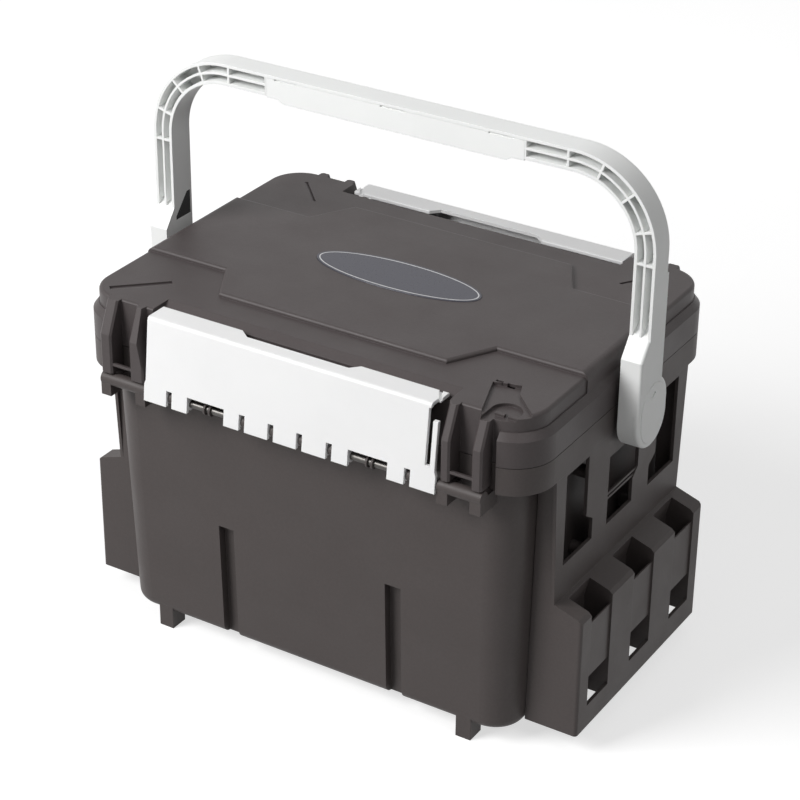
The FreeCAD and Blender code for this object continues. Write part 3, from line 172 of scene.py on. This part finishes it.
class Shader:
    """A new material with one principled shader and short ways to add nodes to it."""

    def __init__(self, name):
        self.material = bpy.data.materials.new(name)
        self.material.use_nodes = True
        self.nodes = self.material.node_tree.nodes
        self.links = self.material.node_tree.links
        self.surface = self.nodes["Principled BSDF"]
        self.coordinates = self.nodes.new("ShaderNodeTexCoord").outputs["Object"]
        self.soft_edges = False

    def set(self, **values):
        """Constant values of the shader's own sockets."""
        for key, value in values.items():
            self.surface.inputs[key.replace("_", " ")].default_value = value

    def noise(self, scale, detail=2.0, roughness=0.5, stretch=(1.0, 1.0, 1.0)):
        """Value of a noise texture; scale is in features per metre."""
        mapping = self.nodes.new("ShaderNodeMapping")
        mapping.inputs["Scale"].default_value = stretch
        self.links.new(self.coordinates, mapping.inputs["Vector"])
        texture = self.nodes.new("ShaderNodeTexNoise")
        texture.inputs["Scale"].default_value = scale
        texture.inputs["Detail"].default_value = detail
        texture.inputs["Roughness"].default_value = roughness
        self.links.new(mapping.outputs["Vector"], texture.inputs["Vector"])
        return texture.outputs["Fac"]

    def cells(self, scale):
        """Distance value of a cell texture."""
        texture = self.nodes.new("ShaderNodeTexVoronoi")
        texture.inputs["Scale"].default_value = scale
        self.links.new(self.coordinates, texture.inputs["Vector"])
        return texture.outputs["Distance"]

    def length(self, vector):
        """Length of a vector."""
        node = self.nodes.new("ShaderNodeVectorMath")
        node.operation = "LENGTH"
        self.links.new(vector, node.inputs[0])
        return node.outputs["Value"]

    def spread(self, value, low, high, from_low=0.3, from_high=0.7):
        """The value mapped to a range."""
        node = self.nodes.new("ShaderNodeMapRange")
        node.inputs["From Min"].default_value = from_low
        node.inputs["From Max"].default_value = from_high
        node.inputs["To Min"].default_value = low
        node.inputs["To Max"].default_value = high
        self.links.new(value, node.inputs["Value"])
        return node.outputs["Result"]

    def blend(self, factor, first, second):
        """Colour between two colours by a factor."""
        node = self.nodes.new("ShaderNodeMix")
        node.data_type = "RGBA"
        self.links.new(factor, node.inputs["Factor"])
        for socket, colour in ((node.inputs[6], first), (node.inputs[7], second)):
            if isinstance(colour, tuple):
                socket.default_value = (*colour, 1.0)
            else:
                self.links.new(colour, socket)
        return node.outputs[2]

    def mottle(self, value, dark, light):
        """Colour that follows a texture's value from dark to light."""
        return self.blend(self.spread(value, 0.0, 1.0), dark, light)

    def colour(self, value):
        """Colour of the surface from a node."""
        self.links.new(value, self.surface.inputs["Base Color"])

    def gloss(self, value, low, high):
        """Roughness of the surface, which follows a texture's value from low to high."""
        self.links.new(self.spread(value, low, high), self.surface.inputs["Roughness"])

    def moulded_gloss(self, value, roughness):
        """Patchy roughness of a moulding about its mean."""
        smoother, rougher = moulding_roughness_spread
        self.gloss(value, roughness - smoother, roughness + rougher)

    def bumps(self, layers):
        """Bump from (value, height in metres) layers, over softened edges where they are wanted."""
        normal = None
        if self.soft_edges:
            edges = self.nodes.new("ShaderNodeBevel")
            edges.samples = edge_samples
            edges.inputs["Radius"].default_value = edge_softness
            normal = edges.outputs["Normal"]
        for value, height in layers:
            node = self.nodes.new("ShaderNodeBump")
            node.inputs["Distance"].default_value = height
            self.links.new(value, node.inputs["Height"])
            if normal is not None:
                self.links.new(normal, node.inputs["Normal"])
            normal = node.outputs["Normal"]
        self.links.new(normal, self.surface.inputs["Normal"])


def moulded_plastic(name, dark, light, roughness):
    """Fine-grained moulded plastic with faint flow marks."""
    shader = Shader(name)
    shader.set(Specular_IOR_Level=0.3)
    shader.soft_edges = True
    flow = shader.noise(7.0, detail=4.0, roughness=0.55, stretch=(1.0, 1.0, 2.2))
    specks = shader.noise(420.0, roughness=0.6)
    base = shader.mottle(flow, dark, light)
    speck_colour = tuple(speck_shade * c for c in dark)
    shader.colour(shader.blend(shader.spread(specks, 0.0, speck_share), base, speck_colour))
    shader.moulded_gloss(shader.noise(24.0, detail=3.0), roughness)
    shader.bumps([(shader.cells(1300.0), moulded_grain), (shader.noise(90.0), moulded_grain * moulded_waves)])
    return shader.material


def white_plastic(name, dark, light, roughness):
    """Smooth pale plastic with faint flow marks and a slight haze."""
    shader = Shader(name)
    shader.set(Specular_IOR_Level=0.4, Subsurface_Weight=0.06, Subsurface_Radius=white_depth)
    shader.soft_edges = True
    shader.colour(shader.mottle(shader.noise(11.0, detail=4.0, roughness=0.55), dark, light))
    shader.moulded_gloss(shader.noise(36.0, detail=3.0), roughness)
    shader.bumps([(shader.noise(700.0), white_grain), (shader.noise(40.0), white_waves)])
    return shader.material


def drawn_steel(name, colour, roughness):
    """Steel with marks along the X axis."""
    shader = Shader(name)
    shader.set(Metallic=1.0)
    marks = shader.noise(900.0, detail=3.0, roughness=0.6, stretch=steel_stretch)
    shader.colour(shader.mottle(marks, tuple(steel_shade * c for c in colour), colour))
    shader.gloss(marks, roughness - steel_gloss_spread, roughness + steel_gloss_spread)
    shader.bumps([(marks, steel_marks)])
    return shader.material


def soft_rubber(name):
    """Dull rubber with a dusty bloom."""
    shader = Shader(name)
    shader.set(Specular_IOR_Level=0.3)
    bloom = shader.noise(60.0, detail=4.0, roughness=0.6)
    shader.colour(shader.mottle(bloom, (0.015, 0.015, 0.015), (0.035, 0.035, 0.036)))
    shader.gloss(bloom, 0.75, 0.9)
    shader.bumps([(shader.noise(1100.0), rubber_grain)])
    return shader.material


def inside_oval(shader, low, high, inset):
    """One inside the oval that stays this far from the edges of a box seen from above, and zero outside."""
    mapping = shader.nodes.new("ShaderNodeMapping")
    mapping.vector_type = "TEXTURE"
    mapping.inputs["Location"].default_value = [(a + b) / 2 for a, b in zip(low, high)]
    half_x, half_y = [(high[axis] - low[axis]) / 2 - inset for axis in (0, 1)]
    mapping.inputs["Scale"].default_value = (half_x, half_y, flatten)
    shader.links.new(shader.coordinates, mapping.inputs["Vector"])
    reach = shader.length(mapping.outputs["Vector"])
    return shader.spread(reach, 1.0, 0.0, 1.0 - badge_line_blur, 1.0 + badge_line_blur)


def badge_finish(name):
    """Dark plate with a plain pale line of even width round its oval, inside the edge."""
    shader = Shader(name)
    shader.soft_edges = True
    low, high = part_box("badge_plate")
    outer, inner = [inside_oval(shader, low, high, inset) for inset in badge_line]
    speckle = shader.noise(500.0)
    dark = shader.mottle(speckle, (0.032, 0.032, 0.048), (0.038, 0.038, 0.056))
    pale = shader.mottle(speckle, (0.66, 0.66, 0.67), (0.72, 0.72, 0.73))
    rim = shader.blend(outer, dark, pale)
    shader.colour(shader.blend(inner, rim, dark))
    shader.gloss(speckle, 0.27, 0.34)
    shader.bumps([(shader.noise(90.0), badge_waves)])
    return shader.material


def slot_materials():
    """One material for each slot of the record."""
    return {
        "body_plastic": moulded_plastic("body_plastic", (0.063, 0.053, 0.051), (0.069, 0.058, 0.056), 0.5),
        "lid_plastic": moulded_plastic("lid_plastic", (0.062, 0.052, 0.052), (0.068, 0.057, 0.057), 0.46),
        "tray_plastic": moulded_plastic("tray_plastic", (0.25, 0.26, 0.27), (0.30, 0.31, 0.32), 0.5),
        "insert_plastic": moulded_plastic("insert_plastic", (0.03, 0.03, 0.03), (0.045, 0.045, 0.046), 0.5),
        "pin_plastic": moulded_plastic("pin_plastic", (0.14, 0.14, 0.14), (0.17, 0.17, 0.17), 0.4),
        "badge_plastic": badge_finish("badge_plastic"),
        "latch_plastic": white_plastic("latch_plastic", (0.86, 0.86, 0.86), (0.90, 0.90, 0.90), 0.36),
        "handle_plastic": white_plastic("handle_plastic", (0.88, 0.89, 0.88), (0.92, 0.93, 0.92), 0.42),
        "grip_plastic": white_plastic("grip_plastic", (0.89, 0.90, 0.89), (0.93, 0.94, 0.93), 0.42),
        "cap_plastic": white_plastic("cap_plastic", (0.88, 0.89, 0.88), (0.92, 0.93, 0.92), 0.4),
        "seal_rubber": soft_rubber("seal_rubber"),
        "axle_steel": drawn_steel("axle_steel", (0.11, 0.105, 0.10), 0.38),
        "screw_steel": drawn_steel("screw_steel", (0.5, 0.5, 0.5), 0.3),
    }


def dress_nodes():
    """Every CAD node gets the material of its slot."""
    materials = slot_materials()
    for entry in frame["record"]["subparts"]:
        mesh = frame["nodes"][entry["node"]].data
        mesh.materials.clear()
        mesh.materials.append(materials[entry["material_slot"]])


def grey(value):
    """Neutral colour of this brightness."""
    return (value, value, value)


def floor():
    """Plain pale floor, near white to the camera, that keeps the shadow."""
    shader = Shader("floor_paint")
    shader.set(Roughness=0.9, Specular_IOR_Level=0.1)
    nodes = shader.nodes
    links = shader.links
    seen = background_rays(nodes, links)
    paint = shader.mottle(shader.noise(3.0, detail=3.0), grey(floor_tint * floor_seen), grey(floor_seen))
    shader.colour(shader.blend(seen, grey(floor_bounce), paint))
    glow = nodes.new("ShaderNodeMath")
    glow.operation = "MULTIPLY"
    distance = shader.length(shader.coordinates)
    links.new(shader.spread(distance, *floor_glow, *floor_glow_reach), glow.inputs[0])
    links.new(seen, glow.inputs[1])
    shine = nodes.new("ShaderNodeEmission")
    shine.inputs["Color"].default_value = white
    links.new(glow.outputs["Value"], shine.inputs["Strength"])
    both = nodes.new("ShaderNodeAddShader")
    links.new(shader.surface.outputs["BSDF"], both.inputs[0])
    links.new(shine.outputs["Emission"], both.inputs[1])
    links.new(both.outputs["Shader"], nodes["Material Output"].inputs["Surface"])
    bpy.ops.mesh.primitive_plane_add(size=floor_size, location=(0.0, 0.0, 0.0))
    plane = bpy.context.object
    plane.name = "floor"
    plane.data.materials.append(shader.material)


bpy.context.scene.view_settings.view_transform = "Standard"
place_camera()
light_scene()
floor()
dress_nodes()
